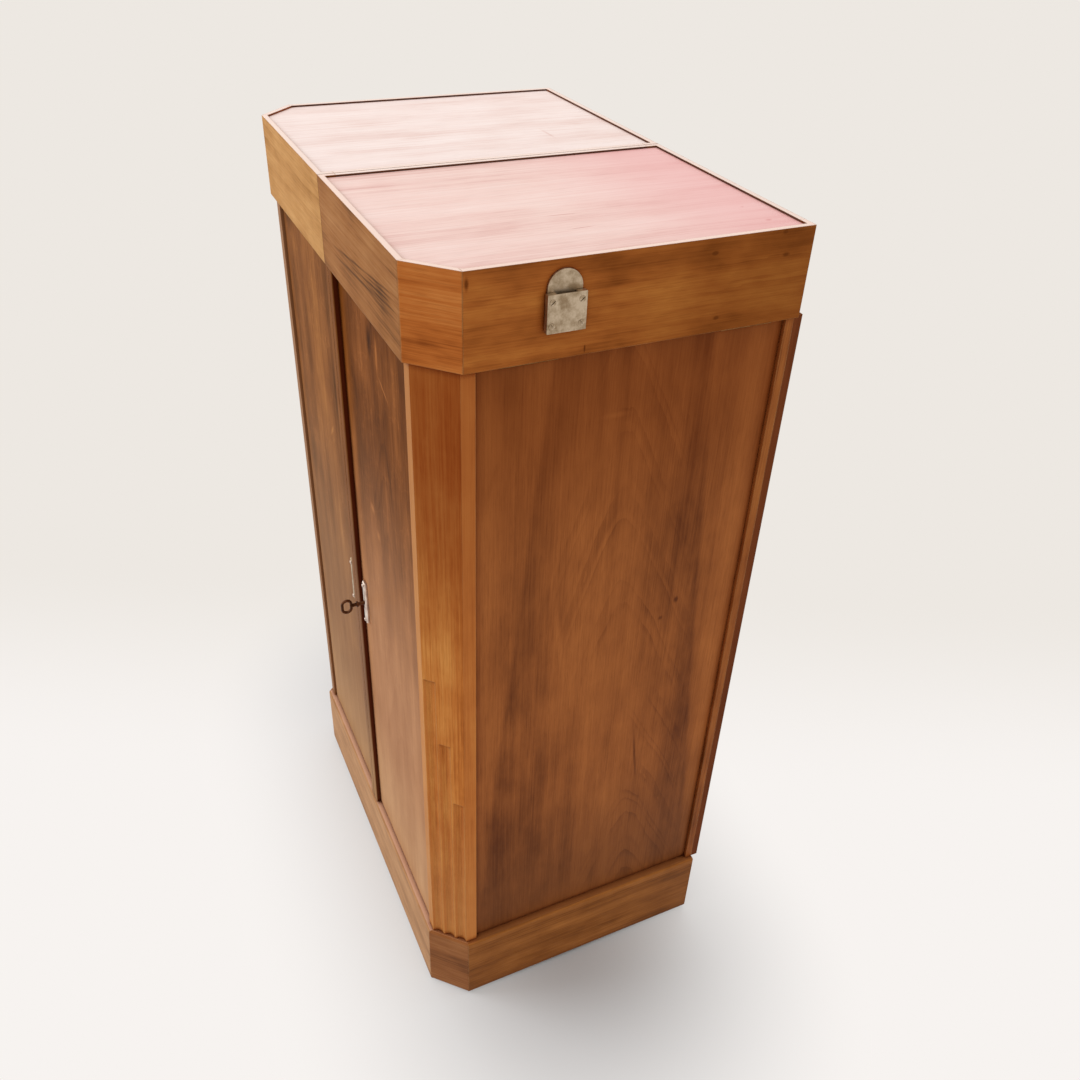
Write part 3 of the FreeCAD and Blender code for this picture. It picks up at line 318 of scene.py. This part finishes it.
# Painted shade on the inner faces of the lids' rims
SHADED_INNER_RIM = "68483F"
UNFADED = (DOWN, "8E5E3C", 0.9)
SHADED_SIDES = ((RIGHT, "5C2410", 0.9), (LEFT, "5C2410", 0.9))
DOOR_CROWN = (150, 0, 20, 0.3)
DOOR_CLOUDS = (110, 50)
WALNUTS = {
    # Red-brown panels with a pointed crown of growth lines between two darker borders
    "side": walnut(
        "walnut_side_panel", "C6783E", "A66030", "6A3618", seed=1.3, crown=(101, -0.09, 14, 0.38), pitch=20,
        wander=14, rings=0.34, fibres=0.4, bands=0.7, mottle=0.45, ghost=0.0,
        ends=((700, 980, "863E0C", 0.45), (440, 130, "603A22", 0.5)),
        borders=((836, -86, 0.09, 75, 0.15), (782, 136, -0.085, -80, 0.18)),
        marks=((653, -45, 90, 7, -0.15, -0.14), (320, 40, 70, 13, 0, -0.2), (520, 20, 160, 60, 0, -0.06),
               (290, -70, 260, 140, 0.1, 0.16), (960, 0, 140, 80, 0, 0.1), (652, 114, 7, 5, 0, 0.35),
               (629, 94, 5, 5, 0, 0.25), (396, 82, 70, 3, -0.12, 0.3), (924, 7, 5, 26, 0, -0.15)),
    ),
    # Doors, dark under the lids and paler towards the floor with a painted sheen
    "door_left": walnut(
        "walnut_door_left", "A46A36", "845026", "583410", across="X", seed=4.1, crown=DOOR_CROWN, pitch=40,
        wander=34, rings=0.2, fibres=0.6, bands=0.7, clouds=DOOR_CLOUDS, mottle=0.8, wisps=0.05, gloss=0.01,
        ends=((860, 420, "98704F", 0.75), (400, 150, "B88E66", 0.7)),
        marks=((800, -115, 60, 40, 0, -0.2), (748, -81, 16, 4, 0.6, -0.3), (640, -206, 60, 50, 0, 0.25),
               (960, -215, 40, 30, 0, -0.2)),
    ),
    "door_right": walnut(
        "walnut_door_right", "94582A", "723F16", "4A260A", across="X", seed=4.7, crown=DOOR_CROWN, pitch=40,
        wander=34, rings=0.2, fibres=0.6, bands=0.7, clouds=DOOR_CLOUDS, mottle=0.8, wisps=0.05, ghost=0.4,
        gloss=0.01, ends=((900, 440, "BA8660", 0.85), (400, 150, "C4966E", 0.75)),
        marks=((958, 145, 30, 5, 0, -0.45), (926, 165, 12, 5, -1.9, -0.45), (734, 91, 9, 10, 0, -0.3),
               (705, 110, 10, 8, 0, -0.3), (964, 121, 26, 12, 0, 0.3), (856, 149, 80, 30, 0, 0.12)),
    ),
    # Orange-brown posts and stiles. The right post is darker at the top, with soiling and painted shade in
    # its flutes and painted light on its front and right strips
    "post": walnut(
        "walnut_post", "E2984E", "C87634", "8C4614", across="X", turn=45, seed=7.7, pitch=30, rings=0.2,
        shade_and_grime_stops=(0.5, 0.82, 0.95), gloss=0.04,
        ends=((560, 900, "802E02", 0.7), (440, 150, "D29254", 0.5)),
        # Paler front and right strips: painted light
        faces=((FRONT, "BC8046", 0.7), (RIGHT, "D48040", 0.55)),
    ),
    # The left post is a darker copy of the right one, with darker front and right strips: painted shade
    "post_far": walnut(
        "walnut_post_far", "D08848", "B0662A", "7E3E10", across="X", turn=45, seed=7.1, pitch=30, bands=0.7,
        mottle=0.5, gloss=0.02, corners="D0B8A4",
        faces=((FRONT, "9A7050", 0.95), (RIGHT, "A87C58", 0.95)),
    ),
    "stile": walnut("walnut_stile", "B87036", "A25C2C", "703C18", seed=9.2, pitch=30),
    # Lid boards with top edges bleached and paled by a painted sheen, the left front board paler than the
    # right one
    # The left front board is paler than the right one, partly as painted light from the front left
    "lid_front_left": walnut(
        "walnut_lid_front_light", "CE9C62", "BC884E", "9A682E", along="X", across="Z", seed=2.6, pitch=34,
        bands=0.5, mottle=0.8, ghost=0.1, faces=(BLEACHED_SHEEN_RIM,), gloss=0.02,
    ),
    "lid_front_right": walnut(
        "walnut_lid_front", "AC7848", "986233", "5A381A", along="X", across="Z", seed=5.4, pitch=24,
        bands=0.5, ghost=0.2, faces=(ROSY_SHEEN_RIM,), gloss=0.02,
        marks=((215, 1052, 90, 16, 0.1, 0.12), (135, 1050, 150, 2.2, 0.114, 0.32),
               (205, 1054, 85, 1.8, 0.105, 0.26), (185, 1048, 95, 2.2, 0.1, 0.3),
               (215, 1046, 80, 1.8, 0.09, 0.28), (135, 1037, 150, 2.2, 0.07, 0.28),
               (225, 1061, 60, 1.8, 0.13, 0.22), (235, 1041, 50, 2.2, 0.06, 0.25)),
    ),
    "lid_corner": walnut(
        "walnut_lid_corner", "D48442", "BE6A2C", "864010", along="X", across="Z", turn=-45, seed=6.3,
        pitch=14, bands=0.6, mottle=0.8, ghost=0.15, faces=(ROSY_SHEEN_RIM,),
        marks=((215, 1068, 45, 12, -0.1, 0.2), (228, 1048, 25, 2, -0.1, 0.3), (222, 1060, 30, 2, -0.1, 0.3)),
    ),
    "lid_corner_far": walnut(
        "walnut_lid_corner_far", "D48442", "BE6A2C", "864010", along="X", across="Z", turn=45, seed=6.1,
        pitch=14, bands=0.6, mottle=0.8, ghost=0.15, faces=(BLEACHED_SHEEN_RIM,),
    ),
    "lid_side": walnut(
        "walnut_lid_side", "D0823A", "B4662A", "804212", along="Y", across="Z", seed=3.8, fibres=0.5,
        bands=0.9, mottle=0.9, ghost=0.15, faces=(ROSY_SHEEN_RIM,), ends=((-120, 200, "763C04", 0.5),),
        marks=((-41, 1010, 1.2, 5, 0, 0.9), (92, 1085, 5, 3, 0, 0.5), (175, 1074, 6, 3, 0, 0.45),
               (103, 1019, 5, 3, 0, 0.4), (170, 1097, 4, 3, 0, 0.4), (-159, 1088, 3, 9, 0, 0.5),
               (-90, 1014, 110, 14, 0, -0.2), (60, 1012, 90, 10, 0, -0.15), (20, 1087, 120, 10, 0, 0.15)),
    ),
    "lid_side_far": walnut(
        "walnut_lid_side_far", "C67C34", "A86026", "7A4012", along="Y", across="Z", seed=9.6,
        faces=(BLEACHED_SHEEN_RIM, (RIGHT, SHADED_INNER_RIM, 0.9)),
    ),
    "lid_back": walnut(
        "walnut_lid_back", "C08A56", "AC7442", "86562A", along="X", across="Z", seed=5.1,
        faces=(BLEACHED_SHEEN_RIM, (FRONT, SHADED_INNER_RIM, 0.9)),
    ),
    # Lid tops bleached to cream and pink under the lacquer, paled further by a painted sheen, still brown
    # inside
    "lid_top_left": walnut(
        "walnut_lid_top_bleached_painted_sheen", "F4E5E3", "EFDCD8", "E0C0B8", along="Y", across="X", seed=8.5, pitch=20,
        bands=0.5, mottle=0.4, pored=0.1, rubbed="F6E8E2", corners="D8B0A8", gloss=0.2, rough=0.36,
        faces=(UNFADED,), marks=((102, -87, 3, 30, 0.6, 0.25),),
    ),
    "lid_top_right": walnut(
        "walnut_lid_top_rosy", "F1D6D1", "ECCBC4", "DAAAA3", along="Y", across="X", seed=8.9, pitch=20,
        mottle=0.4, pored=0.1, rubbed="F6E2DC", corners="D8A8A0", gloss=0.2, rough=0.36,
        ends=((-40, 200, "E8ACAD", 0.75),), faces=(UNFADED,),
        marks=((-15, 194, 24, 1.2, 0.05, 0.6), (-13, 234, 20, 1.2, -0.05, 0.6), (171, 229, 3, 2, 0, 0.6),
               (173, 273, 5, 3, 0, 0.8)),
    ),
    # Plinth boards, pale in front, and lighter along the ledge from wear and painted light
    "plinth_front": walnut(
        "walnut_plinth_front", "CEA076", "BC8C62", "8E6644", along="X", across="Z", seed=1.9, rings=0.1,
        bands=0.4, gloss=0.02, rubbed="DEB096", faces=((UP, "E2B89E", 0.9),),
    ),
    "plinth_side": walnut(
        "walnut_plinth_side", "AE6C34", "8C5222", "623814", along="Y", across="Z", seed=2.2, pitch=16,
        faces=((UP, "9C6640", 0.5),),
    ),
    "plinth_corner": walnut(
        "walnut_plinth_corner", "AE7446", "965C32", "683E1E", along="X", across="Z", turn=-45, seed=2.9,
        pitch=16, faces=((UP, "BC8860", 0.7),),
    ),
    "plinth_corner_far": walnut(
        "walnut_plinth_corner_far", "AE7446", "965C32", "683E1E", along="X", across="Z", turn=45, seed=2.5,
        pitch=16, faces=((UP, "BC8860", 0.7),),
    ),
    # Meeting beads, with painted shade on their sides and, low down, the doors' painted sheen
    "bead": walnut(
        "walnut_bead", "946034", "7E4C26", "5E3416", across="X", seed=5.9, faces=SHADED_SIDES, gloss=0.01,
        ends=((860, 420, "8F694E", 0.7), (400, 150, "B48A60", 0.7)),
    ),
    # Inside and back boards, plainer and more matt
    "inner": walnut(
        "walnut_inner", "8F6240", "7A4F30", "5C381F", along="X", across="Y", seed=6.6, rough=0.6,
    ),
    "back": walnut(
        "walnut_back", "96562C", "804420", "5C3014", across="X", seed=7.1, rough=0.6,
        faces=((RIGHT, "783C1C", 0.8), (LEFT, "783C1C", 0.8)),
    ),
}

# Metal

TARNISH_SIZE = 10 * MM
# Real specks are finer. They are drawn coarser so that they still show
SPECK_SIZE = 1.4 * MM
SPECK_DEPTH = 0.1 * MM
SHADE_AND_DIRT_REACH = 2 * MM


def worn_metal(name, bright, tarnish, rough):
    """Plated or rubbed metal with soft tarnish clouds and fine duller specks.

    Its hollows and slots are darker, with soiling and painted shade.
    """
    material, tree = new_material(name)
    place = add(tree, "ShaderNodeTexCoord", out="Object")
    cloud = add(tree, "ShaderNodeTexNoise",
                {"Vector": place, "Scale": 1 / TARNISH_SIZE, "Detail": 3.0, "Roughness": 0.55})
    speck = add(tree, "ShaderNodeTexNoise", {"Vector": place, "Scale": 1 / SPECK_SIZE, "Detail": 3.0})
    dull = add(tree, "ShaderNodeMath", {0: speck, 1: 0.25, 2: cloud}, operation="MULTIPLY_ADD")
    colour = add(tree, "ShaderNodeValToRGB", {0: dull}, stops=((0.45, tarnish), (0.75, bright)))
    # Ambient occlusion darkens hollows and slots: soiling, and painted shade
    hollow = add(tree, "ShaderNodeAmbientOcclusion", {"Distance": SHADE_AND_DIRT_REACH}, out="AO", samples=4)
    shade_and_dirt = add(tree, "ShaderNodeValToRGB", {0: hollow}, stops=((0.2, "6A5646"), (0.6, "FFFFFF")))
    colour = add(tree, "ShaderNodeMix", {0: 1.0, 6: colour, 7: shade_and_dirt}, out=2,
                 data_type="RGBA", blend_type="MULTIPLY")
    sheen = add(tree, "ShaderNodeMapRange",
                {"Value": dull, "From Min": 0.4, "From Max": 0.8, "To Min": rough + 0.14, "To Max": rough})
    bump = add(tree, "ShaderNodeBump", {"Strength": 0.15, "Distance": SPECK_DEPTH, "Height": speck})
    shader = add(tree, "ShaderNodeBsdfPrincipled",
                 {"Base Color": colour, "Metallic": 1.0, "Roughness": sheen, "Normal": bump})
    add(tree, "ShaderNodeOutputMaterial", {"Surface": shader})
    return material


# Nickel plate gone warm grey and cloudy, with brown where the brass shows through
POCKET_NICKEL = worn_metal("nickel_plated_brass", "C8B59C", "9C866A", 0.42)
# Brighter nickel, rubbed by hands
PLATE_NICKEL = worn_metal("nickel_key_plate", "EADCD0", "C4AEA0", 0.3)
# Cast brass gone brown
BRASS = worn_metal("aged_brass", "B08A48", "6E5024", 0.36)
# Iron, dark brown and smooth from handling
IRON = worn_metal("rubbed_dark_iron", "6A4630", "3A2416", 0.42)

# Finish of each CAD node

BOARDS = {
    "side": ["side_panel_left", "side_panel_right"],
    "door_left": ["door_left"],
    "door_right": ["door_right"],
    "post": ["corner_post_right"],
    "post_far": ["corner_post_left"],
    "stile": ["rear_stile_left", "rear_stile_right"],
    "lid_front_left": ["lid_front_left"],
    "lid_front_right": ["lid_front_right"],
    "lid_corner": ["lid_corner_right"],
    "lid_corner_far": ["lid_corner_left"],
    "lid_side": ["lid_side_right"],
    "lid_side_far": ["lid_side_left", "lid_seam_left", "lid_seam_right"],
    "lid_back": ["lid_back_left", "lid_back_right"],
    "lid_top_left": ["lid_top_left"],
    "lid_top_right": ["lid_top_right"],
    "plinth_front": ["plinth_front"],
    "plinth_side": ["plinth_side_left", "plinth_side_right"],
    "plinth_corner": ["plinth_corner_right"],
    "plinth_corner_far": ["plinth_corner_left"],
    "bead": ["meeting_bead_left", "meeting_bead_right"],
    "inner": ["plinth_back", "plinth_bearer", "bottom_board", "deck_board", "top_rail", "shelf",
              "bottle_dividers_long", "bottle_dividers_cross"],
    "back": ["back_panel"],
}
# Nodes that are in neither list, such as hinges, pivots, bolts and pegs, are brass
FITTINGS = {
    # The left key plate matches the right one but takes the duller nickel: painted shade
    "key_plate_left": POCKET_NICKEL,
    "key_plate_right": PLATE_NICKEL,
    "socket_plate": POCKET_NICKEL,
    "socket_box": POCKET_NICKEL,
    "key": IRON,
}
EASED = ["socket_plate", "socket_box"]
EASED_WIDTH = 0.5 * MM
EASED_ANGLE = math.radians(40)
JOIN_WITHIN = 0.001 * MM


def finish_node(name, material):
    """Gives a CAD node its material."""
    thing = nodes[name]
    if not thing.material_slots:
        thing.data.materials.append(material)
    for place in thing.material_slots:
        place.material = material


def ease_edges(name):
    """Rounds a metal node's edges slightly."""
    weld = nodes[name].modifiers.new("joined_faces", "WELD")
    weld.merge_threshold = JOIN_WITHIN
    bevel = nodes[name].modifiers.new("worn_edges", "BEVEL")
    bevel.width = EASED_WIDTH
    bevel.segments = 2
    bevel.limit_method = "ANGLE"
    bevel.angle_limit = EASED_ANGLE
    bevel.use_clamp_overlap = True


finishes = {name: WALNUTS[finish] for finish, names in BOARDS.items() for name in names}
finishes.update(FITTINGS)
for name in nodes:
    finish_node(name, finishes.get(name, BRASS))
for name in EASED:
    ease_edges(name)

# Fasteners

HEAD_STEPS = 24
# Outlines of the heads, as shares of their radius and height
PIN_SHARES = ((1.0, 0.0), (1.0, 0.2), (0.94, 0.5), (0.76, 0.8), (0.42, 0.97))
DISC_SHARE = 0.2
SCREW_SHARES = ((1.0, DISC_SHARE), (0.96, 0.5), (0.8, 0.8), (0.5, 1.0))
SLOT_SHARE = 0.16
SCREW_RADIUS = 3.1 * MM
SCREW_HEIGHT = 1.0 * MM
SCREW_INSET = 5 * MM
SCREW_LEVEL = 7.2 * MM
# Turns of the screws' slots, in degrees
LOW_SCREW_TURN = 35
HIGH_SCREW_TURN = -50
PIN_RADIUS = 2.5 * MM
PIN_HEIGHT = 1.5 * MM
PIN_INSET = 5 * MM


def ring_of(mesh, radius, height, steps, start=0.0, sweep=2 * math.pi):
    """Points on a circle or, with a smaller sweep, along an arc that includes both ends."""
    count = steps if sweep >= 2 * math.pi else steps + 1
    angles = [start + sweep * i / steps for i in range(count)]
    return [mesh.verts.new((radius * math.cos(angle), radius * math.sin(angle), height)) for angle in angles]


def skin(mesh, loops, closed):
    """Quads between neighbouring loops of points."""
    for low, high in zip(loops, loops[1:]):
        count = len(low)
        for i in range(count if closed else count - 1):
            mesh.faces.new((low[i], low[(i + 1) % count], high[(i + 1) % count], high[i]))


def seat_fastener(mesh, name, centre, outward, turn, body, material):
    """Turns a finished mesh into a piece that sits on a face and rides on a body."""
    bmesh.ops.recalc_face_normals(mesh, faces=mesh.faces)
    data = bpy.data.meshes.new(name)
    mesh.to_mesh(data)
    mesh.free()
    head = bpy.data.objects.new(name, data)
    bpy.context.collection.objects.link(head)
    facing = Vector(outward).to_track_quat("Z", "Y").to_matrix().to_4x4()
    head.matrix_world = Matrix.Translation(centre) @ facing @ Matrix.Rotation(math.radians(turn), 4, "Z")
    data.materials.append(material)
    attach(head, body)


def domed_pin(name, centre, body):
    """The round head of a key plate's pin."""
    mesh = bmesh.new()
    loops = [ring_of(mesh, PIN_RADIUS * share, PIN_HEIGHT * rise, HEAD_STEPS) for share, rise in PIN_SHARES]
    skin(mesh, loops, True)
    mesh.faces.new(loops[-1])
    mesh.faces.new(loops[0])
    for face in mesh.faces:
        face.smooth = True
    seat_fastener(mesh, name, centre, FRONT, 0, body, PLATE_NICKEL)


def slotted_screw(name, centre, turn, body):
    """A low domed screw head in two halves on a thin disc, with the driver slot between them."""
    mesh = bmesh.new()
    disc = [ring_of(mesh, SCREW_RADIUS, SCREW_HEIGHT * rise, HEAD_STEPS) for rise in (0.0, DISC_SHARE)]
    skin(mesh, disc, True)
    mesh.faces.new(disc[0])
    mesh.faces.new(disc[1])
    for side in (0.0, math.pi):
        loops = []
        for share, rise in SCREW_SHARES:
            reach = math.acos(SLOT_SHARE / share)
            loops.append(ring_of(mesh, SCREW_RADIUS * share, SCREW_HEIGHT * rise, HEAD_STEPS // 2,
                                 side - reach, 2 * reach))
        skin(mesh, loops, False)
        mesh.faces.new(loops[-1])
        mesh.faces.new(loops[0])
        mesh.faces.new([loop[0] for loop in loops] + [loop[-1] for loop in reversed(loops)])
    seat_fastener(mesh, name, centre, RIGHT, turn, body, POCKET_NICKEL)


box_low, box_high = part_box("socket_box")
for place, y in (("front", box_low.y + SCREW_INSET), ("rear", box_high.y - SCREW_INSET)):
    for level, z, turn in (("low", box_low.z + SCREW_LEVEL, LOW_SCREW_TURN),
                           ("high", box_high.z - SCREW_LEVEL, HIGH_SCREW_TURN)):
        screw = "socket_screw_%s_%s" % (place, level)
        slotted_screw(screw, Vector((box_high.x, y, z)), turn, "right_lid")
for side in ("left", "right"):
    plate_low, plate_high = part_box("key_plate_" + side)
    x = (plate_low.x + plate_high.x) / 2
    for level, z in (("low", plate_low.z + PIN_INSET), ("high", plate_high.z - PIN_INSET)):
        pin = "key_plate_pin_%s_%s" % (side, level)
        domed_pin(pin, Vector((x, plate_low.y, z)), side + "_door")

# Floor, light and camera

# Camera: angles in degrees, place in metres, lens and sensor in mm
AZIMUTH = 63.737
ELEVATION = 35.635
ROLL = 2.492
CAMERA_PLACE = (1.080163, -0.460740, 1.418201)
LENS = 33.943
SENSOR = 36.0
# Floor, in metres: its colour deepens behind the cabinet and, far out, on every side
FLOOR_SIZE = 60
FLOOR_MATT = "D6D9DD"
NEAR_FLOOR = "F7F3F0"
FAR_FLOOR = "EDE8E2"
BEHIND_FROM = 0.05
BEHIND_TO = 0.65
FAR_FROM = 1.6
FAR_TO = 4.0
# The shadow fades out over its reach from a line along X that is twice this half length
SHADOW_HALF_LINE = 0.33
SHADOW_REACH = 0.44
SKY = "F4F0EA"
SKY_STRENGTH = 0.76


def looked_at(tree):
    """1 where the camera looks, straight or by way of metal or glass, and 0 where light is only gathered."""
    rays = add(tree, "ShaderNodeLightPath").node.outputs
    seen = add(tree, "ShaderNodeMath", {0: rays["Is Camera Ray"], 1: rays["Is Glossy Ray"]},
               operation="MAXIMUM")
    return add(tree, "ShaderNodeMath", {0: seen, 1: rays["Is Transmission Ray"]}, operation="MAXIMUM")


def make_floor():
    """Pale matt floor that keeps the shadow near the cabinet and runs out into an even pale background."""
    material, tree = new_material("pale_floor")
    place = add(tree, "ShaderNodeTexCoord", out="Object")
    behind = (-math.sin(math.radians(AZIMUTH)), math.cos(math.radians(AZIMUTH)), 0)
    depth = add(tree, "ShaderNodeVectorMath", {0: place, 1: behind}, out="Value", operation="DOT_PRODUCT")
    depth = add(tree, "ShaderNodeMapRange",
                {"Value": depth, "From Min": BEHIND_FROM, "From Max": BEHIND_TO},
                interpolation_type="SMOOTHSTEP")
    reach = add(tree, "ShaderNodeVectorMath", {0: place}, out="Value", operation="LENGTH")
    reach = add(tree, "ShaderNodeMapRange", {"Value": reach, "From Min": FAR_FROM, "From Max": FAR_TO},
                interpolation_type="SMOOTHSTEP")
    depth = add(tree, "ShaderNodeMath", {0: depth, 1: reach}, operation="MAXIMUM")
    colour = add(tree, "ShaderNodeValToRGB", {0: depth}, stops=((0.0, NEAR_FLOOR), (1.0, FAR_FLOOR)))
    matt = add(tree, "ShaderNodeBsdfDiffuse", {"Color": paint(FLOOR_MATT)})
    even = add(tree, "ShaderNodeEmission", {"Color": colour, "Strength": 1.0})
    apart = add(tree, "ShaderNodeVectorMath", {0: place}, operation="ABSOLUTE")
    apart = add(tree, "ShaderNodeVectorMath", {0: apart, 1: (SHADOW_HALF_LINE, 0, 0)},
                operation="SUBTRACT")
    apart = add(tree, "ShaderNodeVectorMath", {0: apart, 1: (0, 0, 0)}, operation="MAXIMUM")
    away = add(tree, "ShaderNodeVectorMath", {0: apart}, out="Value", operation="LENGTH")
    away = add(tree, "ShaderNodeMapRange", {"Value": away, "From Min": 0.0, "From Max": SHADOW_REACH},
               interpolation_type="SMOOTHSTEP")
    share = add(tree, "ShaderNodeMath", {0: looked_at(tree), 1: away}, operation="MULTIPLY")
    surface = add(tree, "ShaderNodeMixShader", {0: share, 1: matt, 2: even})
    add(tree, "ShaderNodeOutputMaterial", {"Surface": surface})
    bpy.ops.mesh.primitive_plane_add(size=FLOOR_SIZE)
    floor = bpy.context.object
    floor.name = "floor"
    floor.data.materials.append(material)


def make_world():
    """Even pale light from all round, with the floor's far colour behind the object."""
    world = bpy.data.worlds.new("studio")
    world.use_nodes = True
    tree = world.node_tree
    tree.nodes.clear()
    sky = add(tree, "ShaderNodeBackground", {"Color": paint(SKY), "Strength": SKY_STRENGTH})
    backdrop = add(tree, "ShaderNodeBackground", {"Color": paint(FAR_FLOOR), "Strength": 1.0})
    surround = add(tree, "ShaderNodeMixShader", {0: looked_at(tree), 1: sky, 2: backdrop})
    add(tree, "ShaderNodeOutputWorld", {"Surface": surround})
    bpy.context.scene.world = world


def soft_light(name, location, target, size, power):
    """A square soft light that faces a target."""
    data = bpy.data.lights.new(name, "AREA")
    data.shape = "SQUARE"
    data.size = size
    data.energy = power
    lamp = bpy.data.objects.new(name, data)
    lamp.location = location
    lamp.rotation_euler = (Vector(target) - Vector(location)).to_track_quat("-Z", "Y").to_euler()
    bpy.context.collection.objects.link(lamp)


def make_camera():
    """The photograph's camera, high over the front right corner and slightly rolled."""
    az, el, roll = (math.radians(angle) for angle in (AZIMUTH, ELEVATION, ROLL))
    back = Vector((math.sin(az) * math.cos(el), -math.cos(az) * math.cos(el), math.sin(el)))
    level = Vector((math.cos(az), math.sin(az), 0))
    rise = back.cross(level)
    right = level * math.cos(roll) + rise * math.sin(roll)
    up = rise * math.cos(roll) - level * math.sin(roll)
    data = bpy.data.cameras.new("camera")
    data.lens = LENS
    data.sensor_width = SENSOR
    camera = bpy.data.objects.new("camera", data)
    camera.matrix_world = Matrix.Translation(CAMERA_PLACE) @ Matrix((right, up, back)).transposed().to_4x4()
    bpy.context.collection.objects.link(camera)
    bpy.context.scene.camera = camera


make_floor()
make_camera()
make_world()
soft_light("front_light", location=(-1.3, -2.5, 1.8), target=(0, 0, 0.6), size=1.8, power=38)
soft_light("sky_panel", location=(-0.7, 0.3, 3.2), target=(0, 0, 0.5), size=2.6, power=24)
bpy.context.scene.view_settings.view_transform = "Standard"
